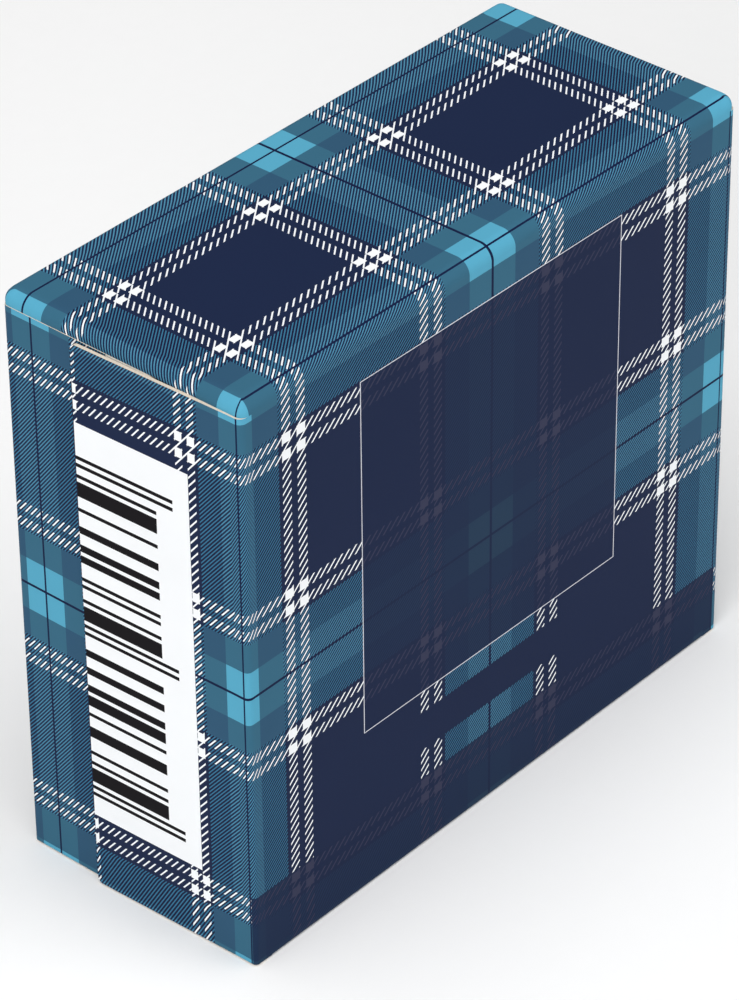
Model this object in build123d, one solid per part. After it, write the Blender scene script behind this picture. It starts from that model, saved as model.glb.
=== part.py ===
"""Folding carton of tailor's chalk: one die-cut board wrapped into a sleeve, four hinged flaps
at each end, the adhesive that holds them, and a row of bevelled chalk plates inside.

Frame: millimetres, origin at the middle of the base, +X along the front panel, +Y towards the
back panel, +Z up. The left end is at -X and the right end is its mirror image.
"""

import os
from math import asin, atan2, cos, degrees, hypot, radians, tan

from build123d import *

# Outer size of the closed carton
front_length = 55.5  # across the outer faces of the two front end folds
carton_height = 50.0
carton_depth = 23.0

# Board and folds
board = 0.3
fold_radius = 1.2  # outer radius of every fold
glue_film = 0.08

# Long seam: a strip folded up from the base, glued inside the back panel
seam_flap_height = 9.0
seam_flap_end_inset = 0.8
seam_flap_taper_deg = 25.0
seam_glue_height = 5.5
seam_glue_end_inset = 6.0
back_edge_lift = 0.2  # raw lower edge of the back panel above the base

# Large end flaps: the outer one, hinged on the front panel, laps over the inner one on the back panel
inner_flap_showing = 7.3  # from the back face to the outer flap's free edge
flap_lap = 7.6
outer_flap_corner_radius = 0.5
inner_flap_corner_radius = 0.7
inner_flap_setback = 0.1
lap_clearance = 0.03  # between the outer flap and the inner flap's free edge

# Dust flaps, hinged on the top and base panels behind the other two
dust_flap_length = 9.5
dust_flap_margin = 0.55  # beside the fold at each side of its root
dust_flap_back_taper_deg = 43.0
dust_flap_front_taper_deg = 22.0
dust_flap_corner_radius = 0.8

# Adhesive strips between the two large flaps of an end
end_glue_width = 4.5
end_glue_drop = 9.5  # from the flap's top or bottom edge to the strip
end_glue_edge_inset = 2.0

# Adhesive dab on each dust flap
dust_glue_width = 4.5
dust_glue_height = 3.0
dust_glue_drop = 3.0  # from the fold down to the dab

# Chalk plates
chalk_count = 5
chalk_end_clearance = 0.7
chalk_head_clearance = 1.2
chalk_face_clearance = 0.12
chalk_edge_thickness = 1.5
chalk_bevel_width = 5.0
chalk_corner_radius = 5.0
chalk_face_corner_radius = 2.5

# Planes and lines that the pieces share
front_face = -carton_depth / 2
back_face = carton_depth / 2
half_length = front_length / 2
inner_plane = half_length - inner_flap_setback
dust_plane = inner_plane - board - glue_film
flap_base = fold_radius
flap_top = carton_height - fold_radius
front_hinge_y = front_face + fold_radius
back_hinge_y = back_face - fold_radius
seam_face = back_face - board - glue_film
inner_fold_radius = fold_radius - board
outer_flap_reach = carton_depth - inner_flap_showing  # from the front face
inner_flap_reach = inner_flap_showing + flap_lap  # from the back face

# Tilt of the outer flap, which rests on the free edge of the inner flap
tip_distance = carton_depth - fold_radius - inner_flap_reach
tip_drop = inner_flap_setback - lap_clearance
outer_flap_tilt = asin(board / hypot(tip_distance, tip_drop)) - atan2(tip_drop, tip_distance)


def rounded_block(half_x, y_low, y_high, z_low, z_high, radius):
    """A block with every edge rounded to the same radius."""
    centre = Pos(0, (y_low + y_high) / 2, (z_low + z_high) / 2)
    block = centre * Box(2 * half_x, y_high - y_low, z_high - z_low)
    return fillet(block.edges(), radius)


def folded_cap(y_back, from_top):
    """The top or base panel with the quarter rounds of its four folds."""
    outer = rounded_block(dust_plane, front_face, y_back, 0, carton_height, fold_radius)
    inner = rounded_block(
        dust_plane - board,
        front_face + board,
        y_back - board,
        board,
        carton_height - board,
        inner_fold_radius,
    )
    slab = Box(front_length, 2 * carton_depth, fold_radius, align=(Align.CENTER, Align.CENTER, Align.MIN))
    return (outer - inner) & Pos(0, 0, flap_top if from_top else 0) * slab


def folded_panel(half_x, y_face, inward):
    """The front or back panel with the upright fold at each of its ends, seen in plan and extruded."""
    outline = RectangleRounded(2 * half_x, carton_depth, fold_radius)
    hollow = RectangleRounded(2 * (half_x - board), carton_depth - 2 * board, inner_fold_radius)
    strip = Pos(0, y_face + inward * fold_radius / 2) * Rectangle(2 * half_x, fold_radius)
    section = (outline - hollow) & strip
    return Pos(0, 0, flap_base) * extrude(section, flap_top - flap_base)


def carton_sleeve():
    """The wrapped board: front, top, back and base panels, their folds and the seam strip."""
    top = folded_cap(back_face, from_top=True)
    base = folded_cap(seam_face, from_top=False)
    front = folded_panel(half_length, front_face, 1)
    back = folded_panel(inner_plane, back_face, -1)
    back_tail = Pos(0, back_face - board / 2, (back_edge_lift + flap_base) / 2) * Box(
        2 * (inner_plane - fold_radius), board, flap_base - back_edge_lift
    )
    return top + base + front + back + back_tail + seam_strip()


def seam_strip():
    """The strip folded up from the base, with tapered ends."""
    foot = dust_plane - fold_radius - seam_flap_end_inset
    head = foot - seam_flap_height * tan(radians(seam_flap_taper_deg))
    top = flap_base + seam_flap_height
    outline = Polyline((-foot, flap_base), (foot, flap_base), (head, top), (-head, top), close=True)
    face = Plane.XZ * make_face(outline)
    return Pos(0, seam_face, 0) * extrude(face, board, dir=(0, -1, 0))


def side_seam_glue():
    """The film between the seam strip and the back panel."""
    middle = flap_base + seam_flap_height / 2
    film = Box(2 * (dust_plane - fold_radius - seam_glue_end_inset), glue_film, seam_glue_height)
    return Pos(0, seam_face + glue_film / 2, middle) * film


def upright_flap(x_face, y_hinge, width, corner_radius):
    """A large end flap, flat in the plane x = -x_face, running from its hinge by a signed width."""
    centre = Pos(y_hinge + width / 2, (flap_base + flap_top) / 2)
    outline = centre * Rectangle(abs(width), flap_top - flap_base)
    free_y = y_hinge + width
    free_corners = [v for v in outline.vertices() if abs(v.X - free_y) < board]
    rounded = fillet(free_corners, corner_radius)
    return Pos(-x_face, 0, 0) * extrude(Plane.YZ * rounded, board, dir=(1, 0, 0))


def outer_flap():
    """The large flap on the front panel, tilted out so that it clears the inner one."""
    width = (outer_flap_reach - fold_radius) / cos(outer_flap_tilt)
    flat = upright_flap(half_length, front_hinge_y, width, outer_flap_corner_radius)
    hinge = Axis((-half_length, front_hinge_y, 0), (0, 0, 1))
    return flat.rotate(hinge, degrees(outer_flap_tilt))


def inner_flap():
    """The large flap on the back panel, under the outer one."""
    return upright_flap(inner_plane, back_hinge_y, fold_radius - inner_flap_reach, inner_flap_corner_radius)


def dust_flap(y_back_limit, from_top):
    """A tapered flap behind the large ones. Its sides lean in, so it swings clear of their hinges."""
    y_front = front_hinge_y + dust_flap_margin
    y_back = y_back_limit - fold_radius - dust_flap_margin
    tip_front = y_front + dust_flap_length * tan(radians(dust_flap_front_taper_deg))
    tip_back = y_back - dust_flap_length * tan(radians(dust_flap_back_taper_deg))
    root_z = flap_top if from_top else flap_base
    tip_z = root_z - dust_flap_length if from_top else root_z + dust_flap_length
    outline = Polyline((y_front, root_z), (tip_front, tip_z), (tip_back, tip_z), (y_back, root_z), close=True)
    face = make_face(outline)
    tip_corners = [v for v in face.vertices() if abs(v.Y - tip_z) < board]
    rounded = fillet(tip_corners, dust_flap_corner_radius)
    return Pos(-dust_plane, 0, 0) * extrude(Plane.YZ * rounded, board, dir=(1, 0, 0))


def end_glue():
    """Two wedge-shaped strips that fill the lap between the inner and the outer flap."""
    near = back_face - inner_flap_reach + end_glue_edge_inset
    far = front_face + outer_flap_reach - end_glue_edge_inset

    def outer_flap_underside(y):
        return -half_length + board / cos(outer_flap_tilt) - (y - front_hinge_y) * tan(outer_flap_tilt)

    outline = Polyline(
        (-inner_plane, near),
        (-inner_plane, far),
        (outer_flap_underside(far), far),
        (outer_flap_underside(near), near),
        close=True,
    )
    strip = extrude(make_face(outline), end_glue_width / 2, both=True)
    inset = end_glue_drop + end_glue_width / 2
    places = [flap_base + inset, flap_top - inset]
    return Compound(children=[Pos(0, 0, z) * strip for z in places])


def dust_glue(from_top):
    """The dab between a dust flap and the inner flap in front of it."""
    drop = dust_glue_drop + dust_glue_height / 2
    middle_z = flap_top - drop if from_top else flap_base + drop
    dab = Box(glue_film, dust_glue_width, dust_glue_height)
    return Pos(-dust_plane - glue_film / 2, 0, middle_z) * dab


def chalk_plate(place):
    """One flat plate on its lower edge, thinned towards all four edges by long bevels."""
    inner_depth = seam_face - board - (front_face + board)
    thickness = (inner_depth - (chalk_count + 1) * chalk_face_clearance) / chalk_count
    width = 2 * (dust_plane - board - chalk_end_clearance)
    height = carton_height - 2 * board - chalk_head_clearance
    face_width = width - 2 * chalk_bevel_width
    face_height = height - 2 * chalk_bevel_width
    rim = RectangleRounded(width, height, chalk_corner_radius)
    face = RectangleRounded(face_width, face_height, chalk_face_corner_radius)
    core = extrude(rim, chalk_edge_thickness / 2, both=True)
    rise = (thickness - chalk_edge_thickness) / 2
    near_rim = Pos(0, 0, chalk_edge_thickness / 2) * rim
    near_face = Pos(0, 0, chalk_edge_thickness / 2 + rise) * face
    bevel = loft([near_rim.face(), near_face.face()], ruled=True)
    plate = core + bevel + mirror(bevel, Plane.XY)
    pitch = thickness + chalk_face_clearance
    centre_y = front_face + board + chalk_face_clearance + thickness / 2 + place * pitch
    return Pos(0, centre_y, board + height / 2) * Rot(90, 0, 0) * plate


def end_pieces():
    """Every piece of the left end, by the name that follows left_ or right_."""
    return {
        "outer_flap": outer_flap(),
        "inner_flap": inner_flap(),
        "end_glue": end_glue(),
        "top_dust_flap": dust_flap(back_face, from_top=True),
        "bottom_dust_flap": dust_flap(seam_face, from_top=False),
        "top_dust_glue": dust_glue(from_top=True),
        "bottom_dust_glue": dust_glue(from_top=False),
    }


def all_pieces():
    """Every node of the carton, by name."""
    pieces = {"carton_sleeve": carton_sleeve(), "side_seam_glue": side_seam_glue()}
    for name, solid in end_pieces().items():
        pieces["left_" + name] = solid
        pieces["right_" + name] = mirror(solid, Plane.YZ)
    for place in range(chalk_count):
        pieces[f"chalk_{place + 1}"] = chalk_plate(place)
    return pieces


os.makedirs("parts", exist_ok=True)
for node, solid in all_pieces().items():
    export_step(solid, f"parts/{node}.step")
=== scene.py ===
"""Folding carton of tailor's chalk: printed boxboard skins, dried glue and pressed chalk plates.

Lengths are in millimetres until a mesh is made, and the frame is the part's own: origin at the middle
of the base, +X along the front panel, +Y towards the back panel, +Z up.
"""

import bmesh
import bpy
import numpy as np
from math import atan2, cos, pi, radians, sin, tan
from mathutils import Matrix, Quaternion, Vector


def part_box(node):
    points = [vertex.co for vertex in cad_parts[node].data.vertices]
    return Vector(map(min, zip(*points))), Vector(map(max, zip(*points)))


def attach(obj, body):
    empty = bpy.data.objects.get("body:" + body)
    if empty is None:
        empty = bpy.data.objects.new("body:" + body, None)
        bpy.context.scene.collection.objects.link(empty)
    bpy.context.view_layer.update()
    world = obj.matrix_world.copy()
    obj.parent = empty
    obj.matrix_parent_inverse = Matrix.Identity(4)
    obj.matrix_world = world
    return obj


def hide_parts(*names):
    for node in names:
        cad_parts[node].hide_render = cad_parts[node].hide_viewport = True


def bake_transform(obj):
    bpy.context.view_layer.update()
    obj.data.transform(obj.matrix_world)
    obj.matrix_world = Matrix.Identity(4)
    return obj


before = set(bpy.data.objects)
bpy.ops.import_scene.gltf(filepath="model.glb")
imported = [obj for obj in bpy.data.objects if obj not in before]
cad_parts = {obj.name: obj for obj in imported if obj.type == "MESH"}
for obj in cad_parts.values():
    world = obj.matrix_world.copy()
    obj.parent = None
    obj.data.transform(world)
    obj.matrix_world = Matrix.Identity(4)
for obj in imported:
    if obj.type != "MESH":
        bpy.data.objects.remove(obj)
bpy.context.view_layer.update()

METRES = 0.001


def corners_of(node):
    """Lowest and highest corner of a node, in millimetres."""
    low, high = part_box(node)
    return np.array(low) / METRES, np.array(high) / METRES


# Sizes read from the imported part
sleeve_low, sleeve_high = corners_of("carton_sleeve")
outer_low, outer_high = corners_of("left_outer_flap")
inner_low = corners_of("left_inner_flap")[0]
top_dust_low, top_dust_high = corners_of("left_top_dust_flap")
bottom_dust_low, bottom_dust_high = corners_of("left_bottom_dust_flap")
seam_glue_low = corners_of("side_seam_glue")[0]
half_length = sleeve_high[0]
front_face = sleeve_low[1]
back_face = sleeve_high[1]
carton_height = sleeve_high[2]
flap_base = outer_low[2]
flap_top = outer_high[2]
fold_radius = flap_base
inner_plane = -inner_low[0]
dust_plane = -top_dust_low[0]
seam_face = seam_glue_low[1]
front_hinge_y = front_face + fold_radius
back_hinge_y = back_face - fold_radius
outer_flap_width = outer_high[1] - front_hinge_y
outer_flap_tilt = atan2(-half_length - outer_low[0], outer_flap_width)
inner_flap_width = back_hinge_y - inner_low[1]
dust_flap_length = flap_top - top_dust_low[2]

# Board, as in the part
board = 0.3
outer_flap_corner_radius = 0.5
inner_flap_corner_radius = 0.7
dust_flap_corner_radius = 0.8
dust_flap_front_taper = radians(22)
dust_flap_back_taper = radians(43)
back_edge_lift = 0.2
seam_flap_height = 9.0
seam_flap_taper = radians(25)
seam_flap_end_inset = 0.8
seam_foot = dust_plane - fold_radius - seam_flap_end_inset  # half the seam strip's length at its root

# Finer forms than the part has: the top's folds bulge out over the flaps' raw edges, creases are tighter
# towards the base than at the top, and the flaps and upright folds reach down beside the base
top_setback = 0.17  # from the front's end folds back to the top's
top_crease_radius = fold_radius
corner_crease_radius = 0.6  # the top's back and right folds, and the upright folds where they meet the top
base_crease_radius = board
foot_lift = 0.15  # from the floor to the lower edge of the flaps
hinge_crease = 0.35  # beside each hinge line, where the board bends
foot_tuck = 0.02  # how far the foot of an upright fold starts behind the panel's face
flat_guard = 0.12  # narrow strip of flat beside a fold, which keeps the fold's shading off the panel
top_flat = half_length - top_setback - fold_radius
base_flat = dust_plane - fold_radius

# Steps along the round stretches
fold_steps = 16
corner_steps = 6
crease_steps = 7

# Joining the sheets of one piece
weld_distance = 0.002
sharpest_smooth_angle = radians(50)

# The tartan's sett: one period is a teal band, a navy block and their white pairs
sett_period = 1.97
middle_setts = 2.033  # print coordinate across the middle of the front
front_setts_per_mm = 0.0695
drawn_in_beyond = 18.0  # towards its ends the back panel's print is drawn in
drawn_in_setts_per_mm = 0.019
upright_setts_per_mm = 0.0762
full_sett_height = 24.8  # where the print coordinate down the front is one period
drawn_out_below = 3.3  # near the base the print is drawn out
drawn_out_setts_per_mm = 0.0212
top_setts_per_mm = 0.0962
top_middle_setts = -1.057  # print coordinate at the middle of the top's depth
outer_hinge_setts = -0.0985  # print coordinate at the left outer flap's hinge line
outer_flap_setts_per_mm = 0.0925
inner_hinge_setts = 0.157  # and at the left inner flap's
inner_flap_setts_per_mm = 0.0965

# Places across a panel where every sheet beside it has a stop too
shared_stops = [drawn_in_beyond, seam_foot, base_flat - flat_guard, base_flat]


def across(x):
    """Print coordinate along the carton's length, on the front, top and base."""
    return middle_setts + x * front_setts_per_mm


def across_back(x):
    """Print coordinate along the back panel, whose print is drawn in towards its ends."""
    return across(x) - np.sign(x) * np.maximum(np.abs(x) - drawn_in_beyond, 0) * drawn_in_setts_per_mm


def down_front(z):
    """Print coordinate down the front panel and the outer flaps."""
    even = sett_period + (full_sett_height - z) * upright_setts_per_mm
    return even - np.maximum(drawn_out_below - z, 0) * drawn_out_setts_per_mm


def down_back(z):
    """Print coordinate on the back panel, where the stripes lie level with those of the front."""
    return -sett_period - down_front(z)


def over_top(y):
    """Print coordinate across the top panel, from its front edge to its back edge."""
    return top_middle_setts - y * top_setts_per_mm


def under_base(y):
    """Print coordinate across the base panel, which follows the front panel on the flat blank."""
    return down_front(0) + (y - front_face) * top_setts_per_mm


def mirrored(setts):
    """The print coordinate at the right end that matches one at the left end."""
    return 2 * middle_setts - setts


# Small tools for meshes


def flat_stops(half, extra=()):
    """Stops along a flat stretch: its ends, a guard strip inside each, and any extra ones."""
    stops = [-half, -half + flat_guard, half - flat_guard, half]
    for offset in extra:
        stops += [-offset, offset]
    return np.unique(np.round(stops, 6))


def folded_stops(half, extra=()):
    """Stops across a panel with a fold at each side: flat coordinate, then how far through the fold, from
    0 to 1 and negative on the first side. half is measured to where the folds start."""
    flat = flat_stops(half, extra)
    shares = np.linspace(0, 1, fold_steps + 1)[1:]
    places = np.concatenate([np.full(fold_steps, flat[0]), flat, np.full(fold_steps, flat[-1])])
    return places, np.concatenate([-shares[::-1], np.zeros(len(flat)), shares])


def fold_profile(share, crease_radius):
    """How far a fold has gone outwards and downwards at each share of its length: straight out, round the
    crease, then straight down, so that it always spans the fold radius both ways."""
    lead = fold_radius - crease_radius
    path = np.abs(share) * (2 * lead + crease_radius * pi / 2)
    turn = np.clip((path - lead) / crease_radius, 0, pi / 2)
    out = np.minimum(path, lead) + crease_radius * np.sin(turn)
    drop = crease_radius * (1 - np.cos(turn)) + np.maximum(path - lead - crease_radius * pi / 2, 0)
    return out, drop


def join_print(shares, flat_value, first_end, last_end):
    """Print coordinate across folds: the panel's own value on the flat, then evenly through each fold to
    the value where the next panel or flap starts."""
    through = np.abs(shares)
    ends = np.where(shares < 0, first_end, last_end)
    return flat_value * (1 - through) + ends * through


def make_mesh(name, sheets, finishes):
    """A mesh from sheets: each has points (rows, columns, 3) in millimetres, print coordinates
    (rows, columns, 2) and a finish number for each row of faces. The quads run row by row."""
    vertices, faces, prints, slots = [], [], [], []
    first = 0
    for points, coordinates, finish in sheets:
        rows, columns = points.shape[:2]
        number = first + np.arange(rows * columns).reshape(rows, columns)
        quads = np.stack([number[:-1, :-1], number[:-1, 1:], number[1:, 1:], number[1:, :-1]], -1)
        vertices.append(points.reshape(-1, 3))
        prints.append(coordinates.reshape(-1, 2))
        faces.append(quads.reshape(-1, 4))
        slots.append(np.broadcast_to(np.reshape(finish, (-1, 1)), quads.shape[:2]).ravel())
        first += rows * columns
    vertices, faces, prints = (np.concatenate(part) for part in (vertices, faces, prints))
    mesh = bpy.data.meshes.new(name)
    mesh.from_pydata(vertices * METRES, [], faces.tolist())
    print_map = mesh.uv_layers.new(name="print")
    print_map.data.foreach_set("uv", prints[faces.ravel()].astype(np.float32).ravel())
    mesh.polygons.foreach_set("material_index", np.concatenate(slots).astype(np.int32))
    mesh.polygons.foreach_set("use_smooth", np.ones(len(faces), dtype=bool))
    for material in finishes:
        mesh.materials.append(material)
    mesh.update()
    return mesh


def place(name, mesh):
    """Puts a mesh in the scene under a name."""
    piece = bpy.data.objects.new(name, mesh)
    bpy.context.scene.collection.objects.link(piece)
    return piece


def facing(sheet, outward):
    """The sheet with its columns turned over if its faces look away from the outward directions."""
    points, coordinates, finish = sheet
    along = np.diff(points, axis=1)[:-1]
    down = np.diff(points, axis=0)[:, :-1]
    normals = np.cross(along, down)
    if np.sum(normals * outward) > 0:
        return sheet
    return points[:, ::-1], coordinates[:, ::-1], finish


def board_piece(name, sheets):
    """Board of one thickness behind printed sheets: doubles merged, walls and cut edges added by
    Solidify, and creases sharper than a fold kept sharp."""
    mesh = make_mesh(name, sheets, board_finishes)
    work = bmesh.new()
    work.from_mesh(mesh)
    bmesh.ops.remove_doubles(work, verts=work.verts, dist=weld_distance * METRES)
    work.to_mesh(mesh)
    work.free()
    rough = place(name, mesh)
    wall = rough.modifiers.new("board", "SOLIDIFY")
    wall.thickness = board * METRES
    wall.offset = -1
    wall.use_even_offset = True
    wall.material_offset = 1
    wall.material_offset_rim = 2
    graph = bpy.context.evaluated_depsgraph_get()
    solid = rough.evaluated_get(graph)
    final = bpy.data.meshes.new_from_object(solid, preserve_all_data_layers=True, depsgraph=graph)
    bpy.data.objects.remove(rough)
    final.set_sharp_from_angle(angle=sharpest_smooth_angle)
    return place(name, final)


# Materials


def linear(hex_colour):
    """An sRGB hex colour as linear red, green, blue and alpha."""
    channels = np.array([int(hex_colour[start : start + 2], 16) / 255 for start in (1, 3, 5)])
    low = channels / 12.92
    high = ((channels + 0.055) / 1.055) ** 2.4
    return (*np.where(channels <= 0.04045, low, high), 1.0)


def add_node(tree, kind, inputs=None, **settings):
    """Adds a node. inputs maps a socket's name or number to a value, an output, or a node whose first
    output is meant."""
    node = tree.nodes.new("ShaderNode" + kind)
    for setting, value in settings.items():
        setattr(node, setting, value)
    for socket, value in (inputs or {}).items():
        if isinstance(value, bpy.types.Node):
            value = next(output for output in value.outputs if output.enabled)
        if isinstance(value, bpy.types.NodeSocket):
            tree.links.new(value, node.inputs[socket])
        else:
            node.inputs[socket].default_value = value
    return node


def new_material(name):
    """An empty node material and its tree."""
    material = bpy.data.materials.new(name)
    material.use_nodes = True
    material.node_tree.nodes.clear()
    return material, material.node_tree


# Stripes of the sett, as distances from the middle of the teal band, in setts
line_half = 0.0085
middle_half = 0.178
teal_half = 0.365
white_stripes = (0.4215, 0.5285)
white_stripe_half = 0.031
hatch_pitch = 0.0265
hatch_share = 0.42
dash_pitch = 2 * hatch_pitch
dash_share = 0.27

# Inks
navy = "#1D2845"
line_navy = "#161F40"
solid_teal = "#315570"
solid_teal_middle = "#38677F"
light_blue = "#56A4C1"
hatch_ground = "#1A1A38"
hatch_teal = "#397393"
hatch_teal_middle = "#4C88A6"
white = "#F4F6F8"
veil_navy = "#1C2744"
veil_cover = 0.92
veiled_white = "#A095A6"
outline_grey = "#D9DAE2"
bar_black = "#171518"


def stripes(tree, coordinate):
    """Masks of one direction's stripes: the teal band, its middle, its thin line, and the white pair."""
    distance = add_node(tree, "Math", {0: coordinate, 1: sett_period / 2}, operation="PINGPONG")
    near, far = (
        add_node(tree, "Math", {0: distance, 1: middle, 2: white_stripe_half}, operation="COMPARE")
        for middle in white_stripes
    )
    return {
        "teal": add_node(tree, "Math", {0: distance, 1: teal_half}, operation="LESS_THAN"),
        "middle": add_node(tree, "Math", {0: distance, 1: middle_half}, operation="LESS_THAN"),
        "line": add_node(tree, "Math", {0: distance, 1: line_half}, operation="LESS_THAN"),
        "white": add_node(tree, "Math", {0: near, 1: far}, operation="MAXIMUM"),
    }


def tartan(tree, u, v):
    """Ink colour of the tartan: navy ground, teal bands that are solid where they cross and twill lines
    elsewhere, white dashes that close to squares where pairs cross, and a thin navy line."""
    warp, weft = stripes(tree, u), stripes(tree, v)
    crossed, either = {}, {}
    for name in warp:
        crossed[name] = add_node(tree, "Math", {0: warp[name], 1: weft[name]}, operation="MULTIPLY")
        either[name] = add_node(tree, "Math", {0: warp[name], 1: weft[name]}, operation="MAXIMUM")
    twill = add_node(tree, "Math", {0: u, 1: v}, operation="ADD")
    from_hatch = add_node(tree, "Math", {0: twill, 1: hatch_pitch / 2}, operation="PINGPONG")
    from_dash = add_node(tree, "Math", {0: twill, 1: dash_pitch / 2}, operation="PINGPONG")
    hatch = add_node(tree, "Math", {0: from_hatch, 1: hatch_share * hatch_pitch / 2}, operation="LESS_THAN")
    dash = add_node(tree, "Math", {0: from_dash, 1: dash_share * dash_pitch / 2}, operation="LESS_THAN")
    hatched = add_node(tree, "Math", {0: either["teal"], 1: hatch}, operation="MULTIPLY")
    dashed = add_node(tree, "Math", {0: either["white"], 1: dash}, operation="MULTIPLY")
    hatched_middle = add_node(tree, "Math", {0: either["middle"], 1: hatched}, operation="MULTIPLY")
    solid_middle = add_node(tree, "Math", {0: either["middle"], 1: crossed["teal"]}, operation="MULTIPLY")
    ink = linear(navy)
    for mask, colour in (
        (either["teal"], hatch_ground),
        (either["middle"], navy),
        (hatched, hatch_teal),
        (hatched_middle, hatch_teal_middle),
        (crossed["teal"], solid_teal),
        (solid_middle, solid_teal_middle),
        (crossed["middle"], light_blue),
        (dashed, white),
        (crossed["white"], white),
        (either["line"], line_navy),
    ):
        ink = add_node(tree, "Mix", {0: mask, 6: ink, 7: linear(colour)}, data_type="RGBA")
    return ink


# Printed areas, in millimetres from the left edge and the top edge of the front panel
panel = (12.42, 41.71, 4.3, 35.3)
strip = (13.0, 41.3, 37.3, 40.85)
outline_width = 0.08
band_start_setts = 0.012
band_top = 43.5

# The white label on the left outer flap, from the front face and from the top, and its bars
label_near, label_top, label_bottom = 5.07, 7.8, 43.3
bars_near, guards_near = 8.17, 6.6
bars_top = 10.67
bar_module = 0.324
bar_modules = 95
bar_seed = 3734
white_module_share = 0.57
guard_period = 46  # modules from one pair of long bars to the next
guard_reach = 1.0  # modules from the middle of a pair to each of its bars
guard_margin = 2.5  # modules on each side of that middle that no other bar comes into
past_flap_setts = -10.0  # beyond the free edge


def in_rectangle(tree, u, v, left, right, top, bottom):
    """1 inside a rectangle of the print, else 0."""
    span_u = {0: u, 1: (left + right) / 2, 2: (right - left) / 2}
    span_v = {0: v, 1: (top + bottom) / 2, 2: (bottom - top) / 2}
    inside_u = add_node(tree, "Math", span_u, operation="COMPARE")
    inside_v = add_node(tree, "Math", span_v, operation="COMPARE")
    return add_node(tree, "Math", {0: inside_u, 1: inside_v}, operation="MULTIPLY")


def on_front(left, right, top, bottom, grow=0.0):
    """Print coordinates of a rectangle on the front panel, from millimetres."""
    return (
        across(left - grow - half_length),
        across(right + grow - half_length),
        down_front(carton_height - top + grow),
        down_front(carton_height - bottom - grow),
    )


def on_outer_flap(near, top, bottom):
    """Print coordinates of a rectangle that runs off the left outer flap's free edge."""
    near_setts = outer_hinge_setts - (near - fold_radius) * outer_flap_setts_per_mm
    heights = (down_front(carton_height - top), down_front(carton_height - bottom))
    return past_flap_setts, near_setts, *heights


def label_bars(tree, u, v):
    """Generic bars that carry no number: each module down the label is black or white by chance, with a
    pair of longer, thin bars at each end and in the middle."""
    bars_bottom = bars_top + bar_module * bar_modules
    first_setts = down_front(carton_height - bars_top)
    from_first = add_node(tree, "Math", {0: v, 1: first_setts}, operation="SUBTRACT")
    module_setts = bar_module * upright_setts_per_mm
    counted = add_node(tree, "Math", {0: from_first, 1: module_setts}, operation="DIVIDE")
    module = add_node(tree, "Math", {0: counted}, operation="FLOOR")
    shifted = add_node(tree, "Math", {0: module, 1: guard_reach}, operation="SUBTRACT")
    from_guard = add_node(tree, "Math", {0: shifted, 1: guard_period / 2}, operation="PINGPONG")
    guards = add_node(tree, "Math", {0: from_guard, 1: guard_reach, 2: 0.5}, operation="COMPARE")
    between = add_node(tree, "Math", {0: from_guard, 1: guard_margin}, operation="GREATER_THAN")
    numbered = add_node(tree, "Math", {0: module, 1: bar_seed}, operation="ADD")
    chance = add_node(tree, "TexWhiteNoise", {"W": numbered}, noise_dimensions="1D")
    threshold = {0: chance.outputs["Value"], 1: white_module_share}
    black = add_node(tree, "Math", threshold, operation="GREATER_THAN")
    bars = add_node(tree, "Math", {0: black, 1: between}, operation="MULTIPLY")
    bar_area = in_rectangle(tree, u, v, *on_outer_flap(bars_near, bars_top, bars_bottom))
    guard_area = in_rectangle(tree, u, v, *on_outer_flap(guards_near, bars_top, bars_bottom))
    placed_bars = add_node(tree, "Math", {0: bars, 1: bar_area}, operation="MULTIPLY")
    placed_guards = add_node(tree, "Math", {0: guards, 1: guard_area}, operation="MULTIPLY")
    return add_node(tree, "Math", {0: placed_bars, 1: placed_guards}, operation="MAXIMUM")


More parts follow.
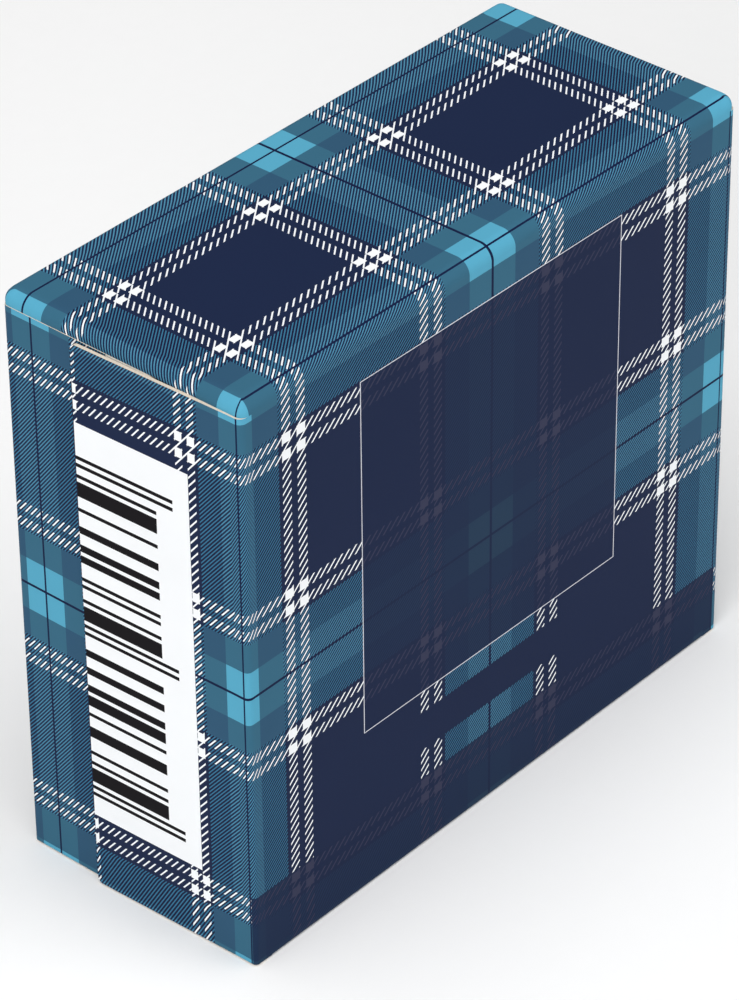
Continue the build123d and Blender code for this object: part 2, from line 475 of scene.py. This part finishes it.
def make_printed_board():
    """Coated boxboard, offset printed and sealed with a satin varnish: flat, even ink, a faint fibre
    grain under it, and a soft sheen on the folds."""
    material, tree = new_material("offset_printed_boxboard")
    print_map = add_node(tree, "UVMap", uv_map="print")
    split = add_node(tree, "SeparateXYZ", {0: print_map})
    u, v = split.outputs[0], split.outputs[1]
    ink = tartan(tree, u, v)
    band_bottom = under_base(front_hinge_y)
    band = (band_start_setts, across(half_length), down_front(carton_height - band_top), band_bottom)
    veils = (in_rectangle(tree, u, v, *on_front(*panel)), in_rectangle(tree, u, v, *band))
    veiled = add_node(tree, "Math", {0: veils[0], 1: veils[1]}, operation="MAXIMUM")
    under_veil = {0: 1.0, 6: ink, 7: linear(veiled_white)}
    dimmed = add_node(tree, "Mix", under_veil, data_type="RGBA", blend_type="DARKEN")
    veil = add_node(tree, "Mix", {0: veil_cover, 6: dimmed, 7: linear(veil_navy)}, data_type="RGBA")
    outline = in_rectangle(tree, u, v, *on_front(*panel, outline_width))
    label = in_rectangle(tree, u, v, *on_outer_flap(label_near, label_top, label_bottom))
    for mask, over in (
        (outline, linear(outline_grey)),
        (veiled, veil),
        (in_rectangle(tree, u, v, *on_front(*strip)), linear(navy)),
        (label, linear(white)),
        (label_bars(tree, u, v), linear(bar_black)),
    ):
        ink = add_node(tree, "Mix", {0: mask, 6: ink, 7: over}, data_type="RGBA")
    spot = add_node(tree, "TexCoord").outputs["Object"]
    fibre = add_node(tree, "TexNoise", {"Vector": spot, "Scale": 1 / (0.18 * METRES), "Detail": 3.0})
    cloud = add_node(tree, "TexNoise", {"Vector": spot, "Scale": 1 / (6 * METRES), "Detail": 2.0})
    density = add_node(tree, "MapRange", {"Value": cloud, "To Min": 0.97, "To Max": 1.03})
    inked = add_node(tree, "HueSaturation", {"Value": density, "Color": ink})
    bump = add_node(tree, "Bump", {"Strength": 0.12, "Distance": 0.01 * METRES, "Height": fibre})
    sheen = add_node(tree, "MapRange", {"Value": fibre, "To Min": 0.40, "To Max": 0.52})
    shader = add_node(
        tree,
        "BsdfPrincipled",
        {"Base Color": inked, "Roughness": sheen, "Specular IOR Level": 0.03, "Normal": bump},
    )
    add_node(tree, "OutputMaterial", {"Surface": shader})
    return material


def make_plain_board(name, light, dark, fibre_size, roughness):
    """Bare board: a fibre mottle between two near tints, matt, with a fine tooth."""
    material, tree = new_material(name)
    spot = add_node(tree, "TexCoord").outputs["Object"]
    fibre = add_node(tree, "TexNoise", {"Vector": spot, "Scale": 1 / (fibre_size * METRES), "Detail": 5.0})
    tint = add_node(tree, "MapRange", {"Value": fibre, "From Min": 0.3, "From Max": 0.7})
    colour = add_node(tree, "Mix", {0: tint, 6: linear(dark), 7: linear(light)}, data_type="RGBA")
    bump = add_node(tree, "Bump", {"Strength": 0.25, "Distance": 0.02 * METRES, "Height": fibre})
    shader = add_node(
        tree,
        "BsdfPrincipled",
        {"Base Color": colour, "Roughness": roughness, "Specular IOR Level": 0.2, "Normal": bump},
    )
    add_node(tree, "OutputMaterial", {"Surface": shader})
    return material


def make_dried_glue():
    """Dispersion glue, rolled on and dried: milky, slightly yellow, smooth and a little glossy."""
    material, tree = new_material("dried_dispersion_glue")
    spot = add_node(tree, "TexCoord").outputs["Object"]
    ripple = add_node(tree, "TexNoise", {"Vector": spot, "Scale": 1 / (0.9 * METRES), "Detail": 3.0})
    tints = {0: ripple, 6: linear("#CFC7AE"), 7: linear("#EDE8D8")}
    colour = add_node(tree, "Mix", tints, data_type="RGBA")
    bump = add_node(tree, "Bump", {"Strength": 0.4, "Distance": 0.05 * METRES, "Height": ripple})
    shader = add_node(
        tree,
        "BsdfPrincipled",
        {
            "Base Color": colour,
            "Roughness": 0.34,
            "Subsurface Weight": 0.2,
            "Subsurface Scale": 1.0 * METRES,
            "Normal": bump,
        },
    )
    add_node(tree, "OutputMaterial", {"Surface": shader})
    return material


def make_pressed_chalk():
    """Tailor's chalk: pigment and talc pressed in a die. Dry and powdery, paler where it is rubbed, with
    fine pits and a few darker grains."""
    material, tree = new_material("pressed_blue_chalk")
    spot = add_node(tree, "TexCoord").outputs["Object"]
    cloud = add_node(tree, "TexNoise", {"Vector": spot, "Scale": 1 / (5 * METRES), "Detail": 4.0})
    grain = add_node(tree, "TexNoise", {"Vector": spot, "Scale": 1 / (0.25 * METRES), "Detail": 4.0})
    pits = add_node(tree, "TexVoronoi", {"Vector": spot, "Scale": 1 / (0.6 * METRES)})
    body = add_node(tree, "Mix", {0: cloud, 6: linear("#4C7FC0"), 7: linear("#7FA9DC")}, data_type="RGBA")
    dust = add_node(tree, "MapRange", {"Value": grain, "From Min": 0.45, "From Max": 0.75, "To Max": 0.45})
    colour = add_node(tree, "Mix", {0: dust, 6: body, 7: linear("#C4D7EE")}, data_type="RGBA")
    dents = add_node(tree, "MapRange", {"Value": pits, "From Max": 0.35})
    height = add_node(tree, "Math", {0: dents, 1: grain}, operation="ADD")
    bump = add_node(tree, "Bump", {"Strength": 0.35, "Distance": 0.06 * METRES, "Height": height})
    shader = add_node(
        tree,
        "BsdfPrincipled",
        {"Base Color": colour, "Roughness": 0.92, "Specular IOR Level": 0.2, "Normal": bump},
    )
    add_node(tree, "OutputMaterial", {"Surface": shader})
    return material


printed_board = make_printed_board()
inside_board = make_plain_board("uncoated_board_back", "#DDD8CC", "#CFC8B8", 0.5, 0.85)
coated_board = make_plain_board("clay_coated_board_face", "#F1EFEA", "#E9E6DF", 0.8, 0.5)
cut_edge = make_plain_board("cut_board_edge", "#E6DACB", "#D3C5B2", 0.12, 0.9)
dried_glue = make_dried_glue()
pressed_chalk = make_pressed_chalk()

# Each visible face of the board is followed by the finishes of its other side and of its cut edge
board_finishes = [printed_board, inside_board, cut_edge, coated_board, inside_board, cut_edge]
PRINTED, BARE = 0, 3

# The sleeve


def upright_stops(half_x):
    """Stops across the front or back panel, which meet those of the top, the base and the seam strip."""
    return folded_stops(half_x - fold_radius, [*shared_stops, top_flat - flat_guard, top_flat])


def upright_sheet(spot, share, z, face_y, hinge_print, back_side):
    """Part of the front or back panel and its upright folds. Across it, a point stays on the flat and
    then follows the fold's profile to the hinge line; down it, it falls, and the crease gets tighter."""
    to_centre = -1 if back_side else 1
    height = np.clip((z[:, None] - flap_base) / (flap_top - flap_base), 0, 1)
    crease_radius = base_crease_radius + (corner_crease_radius - base_crease_radius) * height
    out, drop = fold_profile(share[None, :], crease_radius)
    x = spot + np.sign(share) * out
    y = face_y + to_centre * drop
    flat_print = across_back(spot) if back_side else across(spot)
    u = join_print(share, flat_print, hinge_print, mirrored(hinge_print))
    v = down_back(z) if back_side else down_front(z)
    points = np.stack(np.broadcast_arrays(x, y, z[:, None]), -1)
    coordinates = np.stack(np.broadcast_arrays(u[None, :], v[:, None]), -1)
    return points, coordinates, PRINTED


def upright_panel(half_x, face_y, hinge_print, back_side):
    """Front or back panel: its full height, then the foot of each upright fold beside the base. A foot
    starts a guard strip inside the fold, tucked behind the panel's face so that no crack shows."""
    spot, share = upright_stops(half_x)
    z = np.array([flap_top, flap_top - flat_guard, drawn_out_below, flap_base + flat_guard, flap_base])
    sheets = [upright_sheet(spot, share, z, face_y, hinge_print, back_side)]
    foot_z = np.array([flap_base, foot_lift])
    first_stop = base_flat - flat_guard
    for side in (-1, 1):
        beside = side * spot > first_stop - flat_guard / 2
        foot = upright_sheet(spot[beside], share[beside], foot_z, face_y, hinge_print, back_side)
        tucked = np.abs(spot[beside]) < first_stop + flat_guard / 2
        foot[0][:, tucked, 1] -= np.sign(face_y) * foot_tuck
        sheets.append(foot)
    return sheets


def folded_cap(y_back, top_side):
    """Top or base panel with its four folds. On the flat a point lies level. In a fold it follows the
    fold's profile. In a corner the further of its two folds gives how far out and down it lies, the
    sines of both turns give its direction in plan, and the upright fold's profile gives the outline there.
    At the base the outline is a full round, which lies behind the feet of the upright folds. At the top
    the crease tightens from the top's radius to the corner's as that direction turns to the back or to
    the right end."""
    flat_x = top_flat if top_side else base_flat
    spot_x, share_x = folded_stops(flat_x, shared_stops)
    spot_y, share_y = folded_stops((y_back - front_face) / 2 - fold_radius)
    spot_y = spot_y + (front_face + y_back) / 2
    side_x, side_y = np.meshgrid(np.abs(share_x), np.abs(share_y))
    plan = np.arctan2(np.sin(side_y * pi / 2), np.sin(side_x * pi / 2))
    to_back = np.sin(plan) ** 2 * (share_y > 0)[:, None]
    to_right = np.cos(plan) ** 2 * (share_x > 0)[None, :]
    top_radius = top_crease_radius + (corner_crease_radius - top_crease_radius) * (to_back + to_right)
    crease_radius = top_radius if top_side else base_crease_radius
    out, drop = fold_profile(np.maximum(side_x, side_y), crease_radius)
    side_radius = corner_crease_radius if top_side else fold_radius
    side_out, side_drop = fold_profile(1 - plan / (pi / 2), side_radius)
    grid_x, grid_y = np.meshgrid(spot_x, spot_y)
    x = grid_x + out / fold_radius * side_out * np.sign(share_x)[None, :]
    y = grid_y + out / fold_radius * (fold_radius - side_drop) * np.sign(share_y)[:, None]
    z = carton_height - drop if top_side else drop
    end_setts = across(-flat_x) - fold_radius * front_setts_per_mm
    u = join_print(share_x, across(spot_x), end_setts, mirrored(end_setts))
    if top_side:
        back_share = np.maximum(share_y, 0)
        rounded_y = spot_y + back_share * fold_radius * pi / 2
        v = join_print(share_y, over_top(rounded_y), down_front(flap_top), over_top(rounded_y))
        v = v + back_share**3 * (down_back(flap_top) - v)
        u = u[None, :] + back_share[:, None] ** 3 * (across_back(spot_x) - across(spot_x))[None, :]
    else:
        back_end = under_base(y_back - fold_radius) + fold_radius * pi / 2 * top_setts_per_mm
        v = join_print(share_y, under_base(spot_y), down_front(flap_base), back_end)
        u = u[None, :]
    coordinates = np.stack(np.broadcast_arrays(u, v[:, None]), -1)
    return np.stack([x, y, z], -1), coordinates, PRINTED


def back_tail():
    """The back panel's lowest stretch, which ends in a raw edge just above the base."""
    spot = upright_stops(inner_plane)[0]
    x = np.unique(spot[np.abs(spot) <= base_flat])
    z = np.array([flap_base, back_edge_lift])
    points = np.stack(np.broadcast_arrays(x[None, :], np.array([[back_face]]), z[:, None]), -1)
    coordinates = np.stack(np.broadcast_arrays(across_back(x)[None, :], down_back(z)[:, None]), -1)
    return points, coordinates, PRINTED


def seam_strip():
    """The strip folded up inside the back panel: its ends lean in evenly as it rises."""
    head = seam_foot - seam_flap_height * tan(seam_flap_taper)
    share = np.array([-1.0, 1.0])
    rise = np.array([[0.0], [1.0]])
    x = share * (seam_foot * (1 - rise) + head * rise)
    z = flap_base + rise * seam_flap_height
    points = np.stack(np.broadcast_arrays(x, seam_face, z), -1)
    coordinates = np.stack(np.broadcast_arrays(across(x), down_back(z)), -1)
    return points, coordinates, BARE


def from_middle(sheet):
    """Outward directions of a sheet's faces, taken from the middle of the carton."""
    points = sheet[0]
    return points[:-1, :-1] - np.array([0, 0, carton_height / 2])


sleeve_sheets = [
    *upright_panel(half_length, front_face, outer_hinge_setts, back_side=False),
    *upright_panel(inner_plane, back_face, inner_hinge_setts, back_side=True),
    folded_cap(back_face, top_side=True),
    folded_cap(seam_face, top_side=False),
    back_tail(),
    seam_strip(),
]
sleeve = board_piece("carton_sleeve_board", [facing(sheet, from_middle(sheet)) for sheet in sleeve_sheets])
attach(sleeve, "carton")
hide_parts("carton_sleeve")

# The flaps


def side_line(reach, width, lean, radius):
    """How far a flap's side edge has moved in at each reach from the hinge: it leans evenly, then turns
    into the free edge on an arc that touches both."""
    centre = width - radius
    touch = centre + radius * sin(lean)
    centre_in = centre * tan(lean) + radius / cos(lean)
    arc = centre_in - np.sqrt(np.maximum(radius**2 - (reach - centre) ** 2, 0))
    return np.where(reach > touch, arc, reach * tan(lean))


def flap_reaches(width, radius, print_end):
    """Stops from a flap's hinge to its free edge, close together in the crease and the corners."""
    crease = np.linspace(0, hinge_crease, crease_steps + 1)
    corner = width - radius * (1 - np.sin(np.linspace(0, pi / 2, corner_steps + 1)))
    return np.unique(np.concatenate([crease, [print_end], corner]).round(4))


def flap_sheet(hinge, outwards, across_axis, low, high, width, radius, leans, reach_print, print_end):
    """A flap as a sheet: hinge plus reach along one direction, between two side lines along the other."""
    reach = flap_reaches(width, radius, print_end)
    low_side = low + side_line(reach, width, leans[0], radius)
    high_side = high - side_line(reach, width, leans[1], radius)
    share = np.array([0.0, drawn_out_below / carton_height, 0.5, 1.0])
    sideways = low_side[:, None] * (1 - share) + high_side[:, None] * share
    points = hinge + reach[:, None, None] * outwards + sideways[..., None] * across_axis
    coordinates = reach_print(reach[:, None], sideways)
    finish = np.where((reach[:-1] + reach[1:]) / 2 < print_end, PRINTED, BARE)
    return points, np.stack(np.broadcast_arrays(*coordinates), -1), finish


inner_bleed = 9.0  # print on the inner flap, from its hinge
dust_bleed = 2.0  # print on a dust flap, from its fold
y_axis = np.array([0.0, 1.0, 0.0])
z_axis = np.array([0.0, 0.0, 1.0])


def end_flaps(side):
    """The four flaps of an end, by name, each as a sheet.
    side is -1 at the left end and 1 at the right."""

    def at_end(setts):
        """The print coordinate at this end that matches one at the left end."""
        return setts if side < 0 else mirrored(setts)

    outer_out = np.array([side * sin(outer_flap_tilt), cos(outer_flap_tilt), 0])
    tilted_width = outer_flap_width / cos(outer_flap_tilt)
    outer = flap_sheet(
        np.array([side * half_length, front_hinge_y, 0]),
        outer_out,
        z_axis,
        foot_lift,
        flap_top,
        tilted_width,
        outer_flap_corner_radius,
        (0, 0),
        lambda reach, z: (at_end(outer_hinge_setts - reach * outer_flap_setts_per_mm), down_front(z)),
        tilted_width,
    )
    inner = flap_sheet(
        np.array([side * inner_plane, back_hinge_y, 0]),
        -y_axis,
        z_axis,
        foot_lift,
        flap_top,
        inner_flap_width,
        inner_flap_corner_radius,
        (0, 0),
        lambda reach, z: (at_end(inner_hinge_setts - reach * inner_flap_setts_per_mm), down_back(z)),
        inner_bleed,
    )
    dust = {}
    for name, low_corner, high_corner, fold_z, down, flat_x, cross_print in (
        ("top_dust_flap", top_dust_low, top_dust_high, flap_top, -z_axis, top_flat, over_top),
        ("bottom_dust_flap", bottom_dust_low, bottom_dust_high, flap_base, z_axis, base_flat, under_base),
    ):
        fold_setts = across(-flat_x) - fold_radius * front_setts_per_mm
        dust[name] = flap_sheet(
            np.array([side * dust_plane, 0, fold_z]),
            down,
            y_axis,
            low_corner[1],
            high_corner[1],
            dust_flap_length,
            dust_flap_corner_radius,
            (dust_flap_front_taper, dust_flap_back_taper),
            lambda reach, y, fold_setts=fold_setts, cross_print=cross_print: (
                at_end(fold_setts - reach * front_setts_per_mm),
                cross_print(y),
            ),
            dust_bleed,
        )
    return {"outer_flap": outer, "inner_flap": inner, **dust}


for side_name, side in (("left", -1), ("right", 1)):
    for flap_name, sheet in end_flaps(side).items():
        node = f"{side_name}_{flap_name}"
        flap = board_piece(node + "_board", [facing(sheet, np.array([side, 0, 0]))])
        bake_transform(flap)
        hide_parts(node)

# Dried glue and chalk, whose own solids show

for node_name, node_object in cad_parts.items():
    if node_name.endswith("glue"):
        node_object.data.materials.clear()
        node_object.data.materials.append(dried_glue)
    if node_name.startswith("chalk"):
        node_object.data.materials.clear()
        node_object.data.materials.append(pressed_chalk)

# Floor, light and camera

floor_size = 4000.0
world_strength = 0.25
lamps = (  # name, place, width and watts
    ("overhead", (-100, -60, 700), 600, 3.4),
    ("left", (-600, -250, 350), 400, 2.1),
    ("front", (350, -600, 300), 500, 1.2),
)
camera_azimuth = radians(-48.58)
camera_elevation = radians(34.97)
camera_roll = radians(-0.62)
camera_distance = 358.5
camera_aim = np.array([-1.61, -0.1, 23.18])
camera_lens = 169.9  # on a sensor 36 high


def make_floor():
    """A wide sheet of matt white paper."""
    material, tree = new_material("matt_white_paper")
    spot = add_node(tree, "TexCoord").outputs["Object"]
    fibre = add_node(tree, "TexNoise", {"Vector": spot, "Scale": 1 / (2 * METRES)})
    tint = add_node(tree, "Mix", {0: fibre, 6: linear("#FCFCFC"), 7: linear("#FEFEFE")}, data_type="RGBA")
    finish = {"Base Color": tint, "Roughness": 0.95, "Specular IOR Level": 0.0}
    shader = add_node(tree, "BsdfPrincipled", finish)
    add_node(tree, "OutputMaterial", {"Surface": shader})
    half = floor_size / 2
    square = np.array([[[-half, -half, 0], [half, -half, 0]], [[-half, half, 0], [half, half, 0]]])
    floor = place("floor", make_mesh("floor", [(square, square[..., :2], 0)], [material]))


def make_lights():
    """A soft studio: faint light from all round, one wide lamp overhead, one before the left end and a
    weaker one before the front."""
    world = bpy.data.worlds.new("studio")
    world.use_nodes = True
    world.node_tree.nodes.clear()
    background = add_node(world.node_tree, "Background", {"Color": (1, 1, 1, 1), "Strength": world_strength})
    add_node(world.node_tree, "OutputWorld", {"Surface": background})
    bpy.context.scene.world = world
    for name, spot, size, power in lamps:
        lamp = bpy.data.lights.new(name, "AREA")
        lamp.size = size * METRES
        lamp.energy = power
        holder = bpy.data.objects.new(name, lamp)
        bpy.context.scene.collection.objects.link(holder)
        holder.location = Vector(spot) * METRES
        aim = Vector((0, 0, carton_height / 2 * METRES)) - holder.location
        holder.rotation_euler = aim.to_track_quat("-Z", "Y").to_euler()


def make_camera():
    """A long lens, above the carton's nearest upright fold and turned a little about its own axis."""
    back = Vector(
        (
            sin(camera_azimuth) * cos(camera_elevation),
            -cos(camera_azimuth) * cos(camera_elevation),
            sin(camera_elevation),
        )
    )
    data = bpy.data.cameras.new("camera")
    data.lens = camera_lens
    data.clip_start = 0.01
    camera = bpy.data.objects.new("camera", data)
    bpy.context.scene.collection.objects.link(camera)
    camera.location = (Vector(camera_aim) + back * camera_distance) * METRES
    turn = (-back).to_track_quat("-Z", "Y") @ Quaternion((0, 0, 1), camera_roll)
    camera.rotation_euler = turn.to_euler()
    bpy.context.scene.camera = camera


make_floor()
make_lights()
make_camera()
bpy.context.scene.view_settings.view_transform = "Standard"
